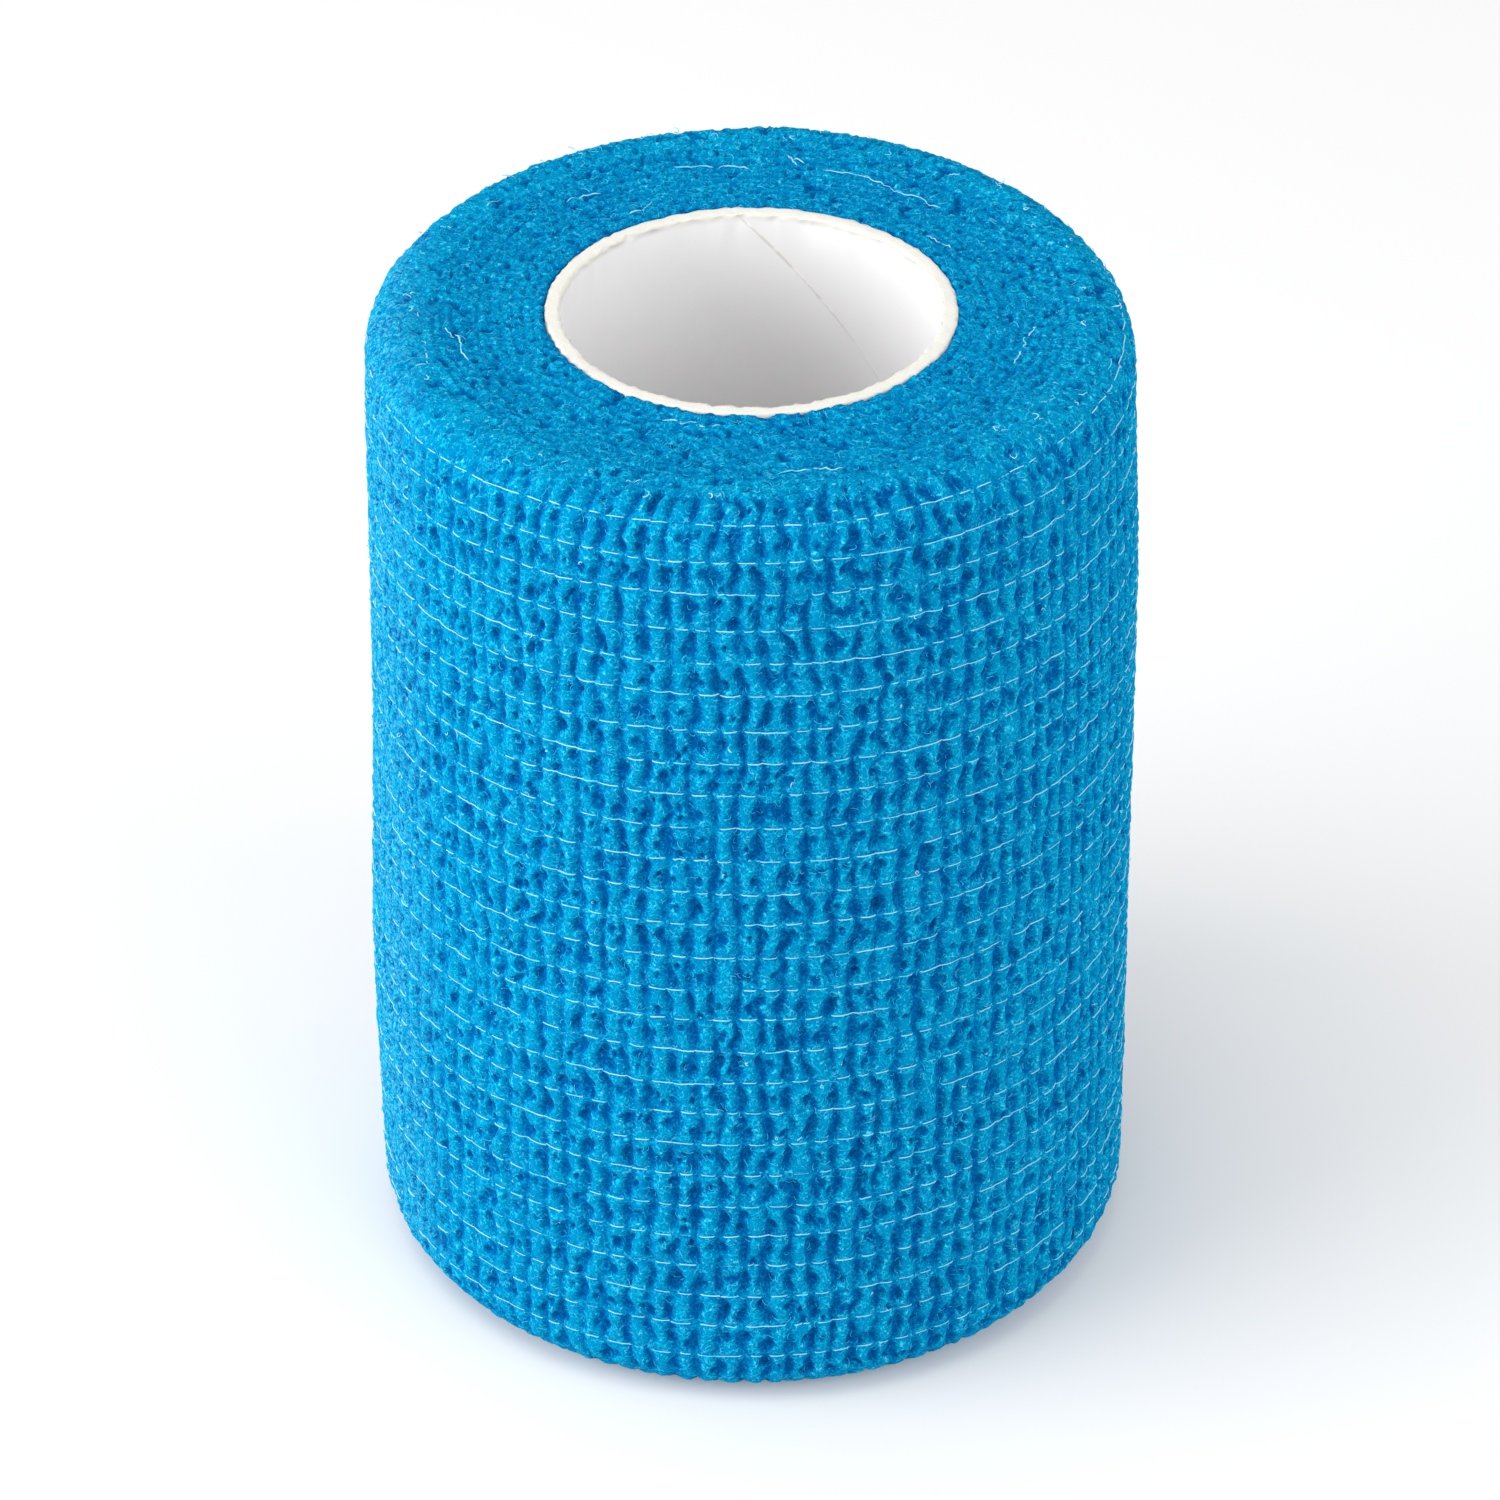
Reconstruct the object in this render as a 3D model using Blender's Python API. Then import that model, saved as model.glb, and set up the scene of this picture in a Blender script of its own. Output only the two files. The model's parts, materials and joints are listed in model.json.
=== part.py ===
"""A cohesive bandage roll, standing on its flat end.

Crinkled elastic cloth is wound in a spiral on a paperboard tube. The roll of cloth is one solid, with the
crinkle ribs of its outer turn raised in its faces, and the tube is a second solid inside it.
Metres, +Z up. The roll stands on the XY plane with its axis on Z, and its cut end runs down the +Y side.
"""

import math

import bmesh
import bpy

MM = 0.001

# Driving dimensions of the roll of cloth.
ROLL_WIDTH = 75.0 * MM            # width of the cloth, and so the height of the standing roll
TOP_RADIUS = 26.85 * MM           # to the crests of the ribs, under the top edge
FOOT_FLARE = 0.4 * MM             # by which the roll is wider at its foot
TURN_THICKNESS = 0.75 * MM        # one turn of cloth, and so the step at the cut end
EDGE_ROUND = 4.0 * MM             # radius in which the outer turns curl over at both ends
END_DISH = 0.25 * MM              # by which the top face sinks between its rim and the core

# The crinkle of the cloth, in ribs that run along the roll.
RIBS = 105
RIB_DEPTH = 0.45 * MM
RIB_POINTS = ((0.00, 1.00), (0.24, 0.18), (0.52, 0.00), (0.78, 0.22))  # share of the pitch, share of the depth
RIB_WANDER = 0.22                 # of the rib pitch, to either side
WANDER_WAVES = ((0.6, 0.41, 1.9, 0.0), (0.4, 1.37, -2.6, 0.8))  # share, radians a rib, radians a row, phase
RIB_DIP = 0.15                    # mean share of the depth by which crests stay low
DIP_WAVE = (2.3, 1.1)             # radians a rib, radians a row
CURL_STEPS = ((30, 0.9), (60, 0.7))  # degrees round the curled edge, share of the rib depth left there
CUT_LIP = 0.12 * MM               # how far round the step of the cut end the outer turn stops short

# How far the hand-wound roll is from round.
OVAL = 0.12 * MM
BELLY = 0.50 * MM
BELLY_SIDE = math.radians(188)
BELLY_Z = 22.0 * MM
BELLY_SPREAD = 15.0 * MM

# The paperboard tube, which the cloth squeezes a little oval.
CORE_HALF_X = 14.2 * MM
CORE_HALF_Y = 13.5 * MM
CORE_WALL = 1.1 * MM
CORE_SIDES = 72
CORE_CHAMFER = 0.15 * MM
FIT_GAP = 0.32 * MM               # between the tube and the innermost turn

CUT_END_ANGLE = math.radians(90)
WALL_ROWS = 7                     # rings of points up the outer wall

CLOTH_LOOK = {"color": (0.003, 0.275, 0.580, 1.0), "roughness": 0.9}
BOARD_LOOK = {"color": (0.860, 0.850, 0.800, 1.0), "roughness": 0.95}


def clear_scene():
    for obj in list(bpy.data.objects):
        bpy.data.objects.remove(obj, do_unlink=True)


def material(name, look):
    made = bpy.data.materials.new(name)
    made.use_nodes = True
    shader = made.node_tree.nodes["Principled BSDF"]
    shader.inputs["Base Color"].default_value = look["color"]
    shader.inputs["Roughness"].default_value = look["roughness"]
    shader.inputs["Metallic"].default_value = 0.0
    made.diffuse_color = look["color"]
    return made


def wall_radius(turned, z):
    """Radius to the rib crests; turned is the angle round from the foot of the step at the cut end."""
    angle = CUT_END_ANGLE + turned
    flare = FOOT_FLARE * (1 - z / ROLL_WIDTH)
    spiral = TURN_THICKNESS * (turned / math.tau - 0.5)
    oval = OVAL * math.cos(2 * (angle - BELLY_SIDE))
    facing = max(0.0, math.cos(angle - BELLY_SIDE))
    belly = BELLY * facing * math.exp(-(((z - BELLY_Z) / BELLY_SPREAD) ** 2))
    return TOP_RADIUS + flare + spiral + oval + belly


def rib_shift(rib, row):
    """How far a rib leans aside at one row, as a share of the pitch; neighbours lean much alike."""
    waves = (share * math.sin(a * rib + b * row + c) for share, a, b, c in WANDER_WAVES)
    return RIB_WANDER * sum(waves)


def rib_dip(rib, row):
    """Share of the depth by which a rib's crest stays under the highest ones."""
    return RIB_DIP * (1 - math.sin(DIP_WAVE[0] * rib + DIP_WAVE[1] * row))


def ribbed_ring(row, z, inset, depth_share=1.0):
    """One ring of points on the outer turn: four to a rib, from the cut end all the way round to it."""
    points = []
    for rib in range(RIBS):
        for share, depth in RIB_POINTS:
            lean = rib_shift(rib, row) * 4 * share * (1 - share)
            turned = (rib + share + lean) / RIBS * math.tau
            sunk = RIB_DEPTH * depth_share * (depth + (1 - depth) * rib_dip(rib, row))
            points.append(around(turned, wall_radius(turned, z) - inset - sunk, z))
    lip = math.tau - CUT_LIP / TOP_RADIUS
    points[-1] = around(lip, wall_radius(lip, z) - inset, z)
    return points


def around(turned, radius, z):
    angle = CUT_END_ANGLE + turned
    return (radius * math.cos(angle), radius * math.sin(angle), z)


def face_ring(count, inset, z):
    """A ring of the flat end, inside the curl of the outer turns."""
    points = []
    for step in range(count):
        turned = step / count * math.tau
        points.append(around(turned, wall_radius(turned, z) - inset, z))
    return points


def round_ring(count, radius, z):
    return [around(step / count * math.tau, radius, z) for step in range(count)]


def tube_ring(count, outset, z):
    """A ring of points round the tube, so far outside its outer face."""
    points = []
    for step in range(count):
        angle = CUT_END_ANGLE + step / count * math.tau
        x = (CORE_HALF_X + outset) * math.cos(angle)
        y = (CORE_HALF_Y + outset) * math.sin(angle)
        points.append((x, y, z))
    return points


def curled(degrees):
    """How far in from the wall and from the end a point lies, so many degrees round the curled edge."""
    turn = math.radians(degrees)
    return EDGE_ROUND * (1 - math.cos(turn)), EDGE_ROUND * (1 - math.sin(turn))


def cloth_rings():
    """The closed section of the roll, ring by ring: the foot, the outer wall, the top face and the bore."""
    middle = (CORE_HALF_X + FIT_GAP + TOP_RADIUS - EDGE_ROUND) / 2
    top = ROLL_WIDTH
    rings = [tube_ring(RIBS, FIT_GAP, 0.0)]
    rings.append(round_ring(RIBS, middle, 0.0))
    rings.append(face_ring(2 * RIBS, EDGE_ROUND, 0.0))
    for degrees, depth_share in CURL_STEPS[::-1]:
        inset, drop = curled(degrees)
        rings.append(ribbed_ring(0, drop, inset, depth_share))
    span = ROLL_WIDTH - 2 * EDGE_ROUND
    for row in range(WALL_ROWS):
        rings.append(ribbed_ring(row, EDGE_ROUND + span * row / (WALL_ROWS - 1), 0.0))
    for degrees, depth_share in CURL_STEPS:
        inset, drop = curled(degrees)
        rings.append(ribbed_ring(WALL_ROWS - 1, top - drop, inset, depth_share))
    rings.append(face_ring(2 * RIBS, EDGE_ROUND, top))
    rings.append(round_ring(RIBS, middle, top - END_DISH))
    rings.append(tube_ring(RIBS, FIT_GAP, top))
    return rings


def core_rings():
    low, high = 0.0, ROLL_WIDTH
    profile = (
        (-CORE_WALL, low + CORE_CHAMFER),
        (CORE_CHAMFER - CORE_WALL, low),
        (-CORE_CHAMFER, low),
        (0.0, low + CORE_CHAMFER),
        (0.0, high - CORE_CHAMFER),
        (-CORE_CHAMFER, high),
        (CORE_CHAMFER - CORE_WALL, high),
        (-CORE_WALL, high - CORE_CHAMFER),
    )
    return [tube_ring(CORE_SIDES, outset, z) for outset, z in profile]


def join_rings(mesh, first, second):
    """Faces between two rings, of which the longer has a whole number of points to each of the shorter."""
    short = min(len(first), len(second))
    one, two = len(first) // short, len(second) // short
    for step in range(short):
        lower = [first[(step * one + i) % len(first)] for i in range(one + 1)]
        upper = [second[(step * two + i) % len(second)] for i in range(two + 1)]
        mesh.faces.new(lower + upper[::-1])


def ring_body(name, rings, look):
    """One closed ring-shaped body, from rings that run round its section."""
    mesh = bmesh.new()
    made = [[mesh.verts.new(point) for point in ring] for ring in rings]
    for first, second in zip(made, made[1:] + made[:1]):
        join_rings(mesh, first, second)
    bmesh.ops.triangulate(mesh, faces=mesh.faces)
    bmesh.ops.recalc_face_normals(mesh, faces=mesh.faces)
    data = bpy.data.meshes.new(name)
    mesh.to_mesh(data)
    mesh.free()
    data.shade_smooth()
    data.set_sharp_from_angle(angle=math.radians(50))
    data.materials.append(material(name, look))
    obj = bpy.data.objects.new(name, data)
    bpy.context.scene.collection.objects.link(obj)
    return obj


def main():
    clear_scene()
    ring_body("bandage_roll", cloth_rings(), CLOTH_LOOK)
    ring_body("core_tube", core_rings(), BOARD_LOOK)


main()
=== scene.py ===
"""The looks of a cohesive bandage roll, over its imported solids.

The crinkled outer turn, the felted ends of the turns, the elastic threads, the lint and the paperboard tube
are each a piece of their own, all in the frame of the solids: metres, +Z up, the cut end down the +Y side.
"""

import json
from math import cos, pi, radians, sin, tau

import bpy
import numpy as np
from bpy.props import FloatProperty, FloatVectorProperty, IntProperty, PointerProperty
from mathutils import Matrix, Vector

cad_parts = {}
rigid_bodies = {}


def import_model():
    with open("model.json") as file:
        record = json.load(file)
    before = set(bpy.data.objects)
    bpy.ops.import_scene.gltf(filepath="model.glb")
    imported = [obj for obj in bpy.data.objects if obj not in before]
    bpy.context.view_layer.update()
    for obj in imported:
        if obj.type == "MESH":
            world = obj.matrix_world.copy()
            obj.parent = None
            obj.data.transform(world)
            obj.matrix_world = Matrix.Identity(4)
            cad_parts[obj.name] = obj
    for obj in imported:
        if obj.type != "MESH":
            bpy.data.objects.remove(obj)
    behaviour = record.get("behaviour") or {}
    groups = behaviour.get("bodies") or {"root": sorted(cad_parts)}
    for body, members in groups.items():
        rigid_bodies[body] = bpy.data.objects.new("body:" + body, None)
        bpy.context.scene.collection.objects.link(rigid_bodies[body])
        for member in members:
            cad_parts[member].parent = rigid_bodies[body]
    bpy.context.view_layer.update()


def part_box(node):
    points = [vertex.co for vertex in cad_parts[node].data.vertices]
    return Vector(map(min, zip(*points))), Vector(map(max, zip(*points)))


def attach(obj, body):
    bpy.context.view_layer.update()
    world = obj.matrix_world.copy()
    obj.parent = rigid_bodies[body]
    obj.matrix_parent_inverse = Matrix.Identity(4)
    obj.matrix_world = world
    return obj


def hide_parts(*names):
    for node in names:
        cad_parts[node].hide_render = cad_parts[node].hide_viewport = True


bl_info = {
    "name": "Cohesive bandage roll",
    "version": (1, 0, 0),
    "blender": (4, 5, 0),
    "location": "3D View > Sidebar > Bandage",
    "description": "Dresses the solids of a bandage roll with crinkled cloth, threads, lint and paperboard",
    "category": "Object",
}

MM = 0.001

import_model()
ROLL_LOW, ROLL_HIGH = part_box("bandage_roll")
CORE_LOW, CORE_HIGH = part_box("core_tube")
ROLL_HEIGHT = ROLL_HIGH[2] - ROLL_LOW[2]
TUBE_X = (CORE_HIGH[0] - CORE_LOW[0]) / 2
TUBE_Y = (CORE_HIGH[1] - CORE_LOW[1]) / 2
BODY = "root"
CUT_END_ANGLE = radians(90)

# Where the grid of the outer turn has its points: shares of a rib's width, and of the way between threads.
RIB_SHARES = (0.0, 0.10, 0.23, 0.37, 0.50, 0.63, 0.77, 0.90)
CELL_SHARES = (0.0, 0.08, 0.17, 0.28, 0.39, 0.50, 0.61, 0.72, 0.83, 0.92)
WALL_PIECES = 3

# Loose thread that lies on the top face, in lines of: radius in mm and angle of its start, then of its end.
LOOSE_THREADS = (
    (19.7, 106.0, 19.2, 98.0), (19.2, 97.0, 18.9, 90.5), (19.3, 75.0, 19.4, 64.5),
    (19.5, 66.0, 18.8, 56.0), (18.7, 57.0, 18.9, 45.5), (21.3, 83.6, 19.6, 80.5),
    (20.6, 82.6, 20.0, 79.2), (20.4, 188.0, 20.2, 199.0), (20.9, 186.5, 20.5, 190.5),
    (22.9, 172.0, 22.7, 187.0), (22.6, 189.0, 22.9, 198.5), (19.0, 339.0, 19.1, 343.5),
    (19.2, 345.0, 18.9, 349.0), (19.0, 350.0, 19.6, 354.0), (15.2, 247.0, 14.9, 256.0),
    (15.0, 253.0, 14.8, 265.0), (20.5, 272.7, 20.4, 281.0), (20.3, 281.5, 20.7, 287.2),
    (15.1, 127.0, 15.7, 116.0), (15.7, 39.0, 16.0, 30.0), (23.4, 150.1, 22.9, 140.0),
    (19.4, 132.0, 18.9, 124.0),
)


def length(name, millimetres, text):
    return FloatProperty(name=name, description=text, default=millimetres * MM, unit="LENGTH", precision=5)


def colour(name, value, text):
    return FloatVectorProperty(name=name, description=text, default=value, subtype="COLOR", min=0.0, max=1.0)


def count(name, value, text):
    return IntProperty(name=name, description=text, default=value, min=0)


def number(name, value, text, **kind):
    return FloatProperty(name=name, description=text, default=value, **kind)


class RollShape(bpy.types.PropertyGroup):
    """Sizes of the roll of cloth."""

    top_radius: length("Radius", 26.85, "Radius to the rib crests under the top edge")
    foot_round: length("Foot round", 3.4, "Radius in which the outer turns curl under the foot")
    foot_flare: length("Foot flare", 0.4, "By which the roll is wider at its foot")
    turn: length("Turn", 0.75, "Thickness of one turn, and the step at the cut end")
    edge_round: length("Edge round", 4.0, "Radius in which the outer turns curl over at the top")
    end_dish: length("End dish", 0.25, "By which the top face sinks between its rim and the tube")
    oval: length("Oval", 0.12, "How far the roll is from round")
    belly: length("Belly", 0.5, "How far the low left side stands out")
    belly_z: length("Belly height", 22.0, "Height of the belly's middle")
    belly_spread: length("Belly spread", 15.0, "How far up and down the belly fades")
    ribs: count("Ribs", 105, "Crinkle ribs round the roll")
    rib_depth: length("Rib depth", 0.45, "Mean depth of the furrows between ribs")
    rib_bulge: length("Rib bulge", 0.12, "How far a rib swells between two threads")
    crest_sink: length("Crest sink", 0.20, "By which the crests on the wall stay inside the plain surface")
    edge_lift: length("Edge lift", 0.32, "By which the upper curl stands out on the far side")
    shoulder: length("Shoulder", 0.66, "By which the roll draws in towards its top on the right")
    sag: length("Sag", 1.40, "By which the threads hang low on the left, and a third as much on the right")
    rib_retreat: length("Rib retreat", 3.0, "How far the ribs stop short of the top edge at the sides")
    thread_bite: length("Thread bite", 0.10, "How far a thread draws the ribs in")
    pit_depth: length("Pit depth", 0.46, "Depth of the small pits on the ribs")
    pit_width: length("Pit width", 0.33, "Radius of the small pits on the ribs")
    seed: count("Seed", 11, "Start of the random numbers")


class ThreadShape(bpy.types.PropertyGroup):
    """Sizes of the elastic threads and the lint."""

    threads: count("Threads", 27, "Elastic threads across the width of the cloth")
    first: length("First thread", 3.55, "From the foot of the top curl to the first thread, along the cloth")
    pitch: length("Pitch", 2.70, "Between two threads")
    radius: length("Radius", 0.051, "Radius of a thread")
    dip: length("Dip", 0.19, "How deep a thread's ends dive into the furrows")
    lint: count("Lint", 7000, "Fibres that stand off the cloth")
    lint_radius: length("Lint radius", 0.020, "Radius of a fibre")
    lint_length: length("Lint length", 0.60, "Length of a fibre")


class RollColours(bpy.types.PropertyGroup):
    """Colours of the cloth, the threads and the paperboard."""

    # Furrow is painted shade: the cloth takes this colour in the furrows and pits in place of the shade
    # there.
    deep: colour("Furrow", (0.0, 0.066, 0.262), "Cloth in the furrows and pits")
    body: colour("Cloth", (0.0, 0.237, 0.470), "Cloth")
    bright: colour("Fibre", (0.006, 0.560, 0.830), "Fibres that catch the light")
    lint: colour("Lint", (0.090, 0.620, 0.880), "Loose fibres")
    thread: colour("Thread", (0.300, 0.650, 0.840), "Elastic thread")
    board: colour("Paperboard", (0.665, 0.655, 0.600), "Cut rim of the tube")
    liner: colour("Liner", (0.855, 0.847, 0.850), "Paper inside the tube")


class StageLook(bpy.types.PropertyGroup):
    """Camera and lights."""

    elevation: number("Elevation", radians(35.3), "Camera above the horizon", subtype="ANGLE")
    distance: length("Distance", 517.4, "Camera to the axis of the roll")
    aim_x: length("Aim X", -0.10, "Point that the camera looks at")
    aim_z: length("Aim Z", 38.02, "Point that the camera looks at")
    lens: number("Lens", 174.1, "Focal length in millimetres")
    key: number("Key", 1.24, "Power of the key light", unit="POWER")
    side: number("Side", 3.0, "Power of the low light on the left", unit="POWER")
    fill: number("Fill", 2.5, "Power of the fill light", unit="POWER")
    sky: number("Sky", 0.69, "Strength of the white surroundings")


# ---- random fields


def lattice(rng, lines, points):
    return rng.uniform(-1.0, 1.0, (lines, points))


def eased(share):
    return share * share * (3 - 2 * share)


def smooth_step(value, start, end):
    return eased(np.clip((value - start) / (end - start), 0.0, 1.0))


def along(field, line, place):
    """Reads a lattice along its given lines, eased from point to point."""
    place = np.clip(place, 0, field.shape[1] - 1.001)
    low = place.astype(int)
    share = eased(place - low)
    return field[line, low] * (1 - share) + field[line, low + 1] * share


def lumps(field, across, up):
    """Smooth lumps from -1 to 1 over both ways of a lattice, which repeats."""
    rows, columns = field.shape
    i, j = np.floor(across).astype(int), np.floor(up).astype(int)
    a, b = eased(across - i), eased(up - j)
    i0, i1, j0, j1 = i % rows, (i + 1) % rows, j % columns, (j + 1) % columns
    low = field[i0, j0] * (1 - b) + field[i0, j1] * b
    high = field[i1, j0] * (1 - b) + field[i1, j1] * b
    return low * (1 - a) + high * a


# ---- the surface of the roll


def upright(radius, angle, z):
    """Points from their distance to the axis, their angle and their height."""
    return np.stack([radius * np.cos(angle), radius * np.sin(angle), z], axis=-1)


def tube_radius(angle, outset):
    """Distance from the axis to the oval tube, at an angle, so far outside its outer face."""
    a, b = TUBE_X + outset, TUBE_Y + outset
    return a * b / np.sqrt((b * np.cos(angle)) ** 2 + (a * np.sin(angle)) ** 2)


class Roll:
    """The whole skin of the roll of cloth.

    A place on the outer turn is a rib, a share of that rib's width and a distance s along the section. The
    section runs from inside the foot, round the lower curl, up the wall, round the upper curl and inwards.
    """

    MARGIN = 0.7 * MM  # flat stretch of the section at both its ends
    JITTER = 0.12 * MM  # of a thread up or down from its even place
    DRIFT_RIBS = 9  # ribs that lean together
    DRIFT_HEIGHT = 9 * MM  # over which they lean together
    LEAN = 0.24  # how far they lean, in ribs
    WANDER = 0.22  # how far each furrow leans on its own, in ribs
    PIT_STRETCH = 1.45  # height of a pit over its width
    TIED_WIDTH = 0.38 * MM  # reach of a thread's pull on the ribs
    ROUGHNESS = 0.07 * MM  # fine relief on the ribs
    CRIMP = 0.10 * MM  # fine relief of the felt
    GROOVE = 0.10 * MM  # depth of the lines between the turns on the end faces
    HOLES = 0.58 * MM  # depth of the holes in the felt
    PORE_LEVEL = 0.36  # height of the random lumps above which the felt has a hole
    FELT_SHIFT = 300  # where in the random numbers of the felt the axis lies
    BELLY_SIDE = radians(188)
    SHOULDER_SIDE = radians(14)
    SHOULDER_START = 0.69  # share of the height at which the roll starts to draw in
    CURL_FADE = 2.6 * MM  # of the upper curl, in which the ribs flatten on the far side
    TOP_FADE = 1.5 * MM  # in which the ribs die away at the top edge
    FOOT_FADE = 4.5 * MM  # in which the ribs die away at the foot
    RAGGED = 0.30 * MM  # by which one rib ends sooner or later than the next
    RAGGED_PLACE = 4.5  # place in the random numbers of a rib that says how much

    def __init__(self):
        self.shape = shape = bpy.context.scene.roll_shape
        self.threads = threads = bpy.context.scene.roll_threads
        self.count = shape.ribs
        self.foot = self.MARGIN
        self.low = self.foot + shape.foot_round * pi / 2
        self.high = self.low + ROLL_HEIGHT - shape.foot_round - shape.edge_round
        self.top = self.high + shape.edge_round * pi / 2
        self.end = self.top + self.MARGIN
        rng = np.random.default_rng(shape.seed)
        jitter = rng.uniform(-self.JITTER, self.JITTER, threads.threads)
        self.pitch = threads.pitch
        self.lines = np.sort(self.high + threads.first - self.pitch * np.arange(threads.threads) + jitter)
        self.bounds = np.array([self.lines[0] - self.pitch, *self.lines, self.lines[-1] + self.pitch])
        cells = threads.threads + 1
        self.wander = lattice(rng, self.count + 1, 96)
        self.drift = lattice(rng, 17, 13)
        self.furrow = lattice(rng, self.count + 1, 96)
        self.swell = lattice(rng, self.count, cells)
        self.pits = (
            self.random_pits(rng, -0.35, CELL_SHARES[4:8], cells),
            self.random_pits(rng, -3.2, CELL_SHARES[2:5], cells),
        )
        self.fine = lattice(rng, 211, 197)
        self.felt_a = lattice(rng, 127, 131)
        self.felt_b = lattice(rng, 149, 151)
        self.felt_c = lattice(rng, 61, 53)

    def random_pits(self, rng, least, places, cells):
        """Size, place across the rib and place up the cell of one pit for each cell; under nought is none."""
        size = rng.uniform(least, 1.0, (self.count, cells))
        return size, rng.choice(RIB_SHARES[2:7], size.shape), rng.choice(places, size.shape)

    def from_pit(self, pits, rib, cell, share, way):
        """Whether a cell has its pit, and how far a place lies across and up from it, in pit radii."""
        size, middle, at = (field[rib, cell] for field in pits)
        radius = self.shape.pit_width * (0.65 + 0.55 * np.clip(size, 0, 1))
        across = (share - middle) * tau * self.shape.top_radius / self.count
        return size > 0, across / radius, (way - at) * self.pitch / (self.PIT_STRETCH * radius)

    def pit_map(self, ribs, shares, rows):
        """For each corner of the faces of a grid, its place across and up from its cell's nearest pit."""
        column, row = np.meshgrid(np.arange(len(ribs) - 1), np.arange(len(rows) - 1), indexing="ij")
        column, row = column.ravel(), row.ravel()
        cell, way = self.cell((rows[1:] + rows[:-1]) / 2)
        rib, cell, middle = ribs[column], cell[row], way[row]
        nearest = np.zeros((len(column), 4, 3))
        least = np.full(len(column), np.inf)
        for pits in self.pits:
            seen = np.zeros_like(nearest)
            for corner, (right, up) in enumerate(((0, 0), (1, 0), (1, 1), (0, 1))):
                share = (ribs + shares)[column + right] - rib
                way = middle + (up - 0.5) * (rows[row + 1] - rows[row]) / self.pitch
                there, across, upwards = self.from_pit(pits, rib, cell, share, way)
                seen[:, corner] = np.stack([across, upwards, there], axis=-1)
            distance = np.linalg.norm(seen[:, :, :2].mean(axis=1), axis=1)
            distance = np.where(seen[:, 0, 2] > 0, distance, np.inf)
            closer = distance < least
            nearest[closer] = seen[closer]
            least = np.minimum(least, distance)
        return nearest

    def cell(self, s):
        """The cell between two threads that s lies in, and the share of the way through it."""
        cell = np.searchsorted(self.lines, s)
        start, stop = self.bounds[cell], self.bounds[cell + 1]
        return cell, (s - start) / (stop - start)

    def valley(self, rib, s):
        """Where the furrow before a rib runs, in ribs from the cut end."""
        calm = np.minimum(1.0, np.minimum(rib, self.count - rib) / 3.0)
        lean = self.LEAN * lumps(self.drift, rib / self.DRIFT_RIBS, s / self.DRIFT_HEIGHT)
        own = self.WANDER * along(self.wander, rib, s / (1.15 * MM))
        return rib + calm * (lean + own)

    def turned(self, rib, share, s):
        """Angle round from the cut end."""
        before, after = self.valley(rib, s), self.valley(rib + 1, s)
        return (before + share * (after - before)) / self.count * tau

    def furrow_depth(self, rib, s):
        """Depth of the furrow before a rib: uneven, and shallower at both sides, on the left most of all."""
        rough = along(self.furrow, rib, s / (0.95 * MM))
        side = np.sin(rib / self.count * tau)
        calm = 0.42 * np.abs(side) ** 1.5 + 0.18 * np.maximum(side, 0)
        return self.shape.rib_depth * (0.93 + 0.42 * rough) * (1 - calm)

    def ribbed(self, rib, share, s):
        """Height of the crinkle over the plain surface. Ribs are wide at a thread and narrow between two."""
        shape = self.shape
        cell, way = self.cell(s)
        near = np.minimum(way, 1 - way) * self.pitch
        tied = np.exp(-((near / self.TIED_WIDTH) ** 2))
        narrow = 0.88 + 0.76 * smooth_step(near, 0.15 * MM, 0.95 * MM)
        narrow = narrow + 0.55 * lumps(self.drift, (rib + share) * 0.55, s / (1.5 * MM))
        crown = np.sin(pi * np.clip(share, 0, 1)) ** narrow
        depth = np.where(share < 0.5, self.furrow_depth(rib, s), self.furrow_depth(rib + 1, s))
        even = 1 - 0.6 * np.sin((rib + share) / self.count * tau) ** 6
        bulge = shape.rib_bulge * np.sin(pi * np.clip(way, 0, 1)) ** 0.7
        bulge = bulge * (0.8 + 0.7 * self.swell[rib, cell])
        height = crown * (bulge - shape.thread_bite * tied) * even
        height = height - (1 - crown) * depth * (1 - 0.52 * tied)
        for pits in self.pits:
            there, across, up = self.from_pit(pits, rib, cell, share, way)
            height = height - shape.pit_depth * there * np.exp(-1.7 * (across**2 + up**2))
        return height + self.ROUGHNESS * lumps(self.fine, (rib + share) * 2.9, s / (0.45 * MM))

    def felted(self, x, y):
        """Height of the end face, where the edges of all the turns lie side by side and felt together."""

        def speckled(field, size):
            return lumps(field, x / size + self.FELT_SHIFT, y / size + self.FELT_SHIFT)

        radius = np.hypot(x, y)
        turned = (np.arctan2(y, x) - CUT_END_ANGLE) % tau
        slow = speckled(self.felt_c, 2.6 * MM)
        layer = (radius - TUBE_X) / self.shape.turn - turned / tau + 0.35 * slow
        gap = np.minimum(layer % 1.0, 1 - layer % 1.0) * self.shape.turn
        groove = np.exp(-((gap / (0.12 * MM)) ** 2))
        crimp = 0.55 * lumps(self.felt_b, turned / tau * len(self.felt_b), radius / (0.36 * MM))
        crimp = crimp + lumps(self.felt_b, y / (0.31 * MM) + 520, x / (0.31 * MM) + 410)
        holes = np.clip(speckled(self.felt_a, 0.48 * MM) - self.PORE_LEVEL, 0.0, 1.0)
        return self.CRIMP * crimp - self.GROOVE * groove - self.HOLES * holes + 0.04 * MM * slow

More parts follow.
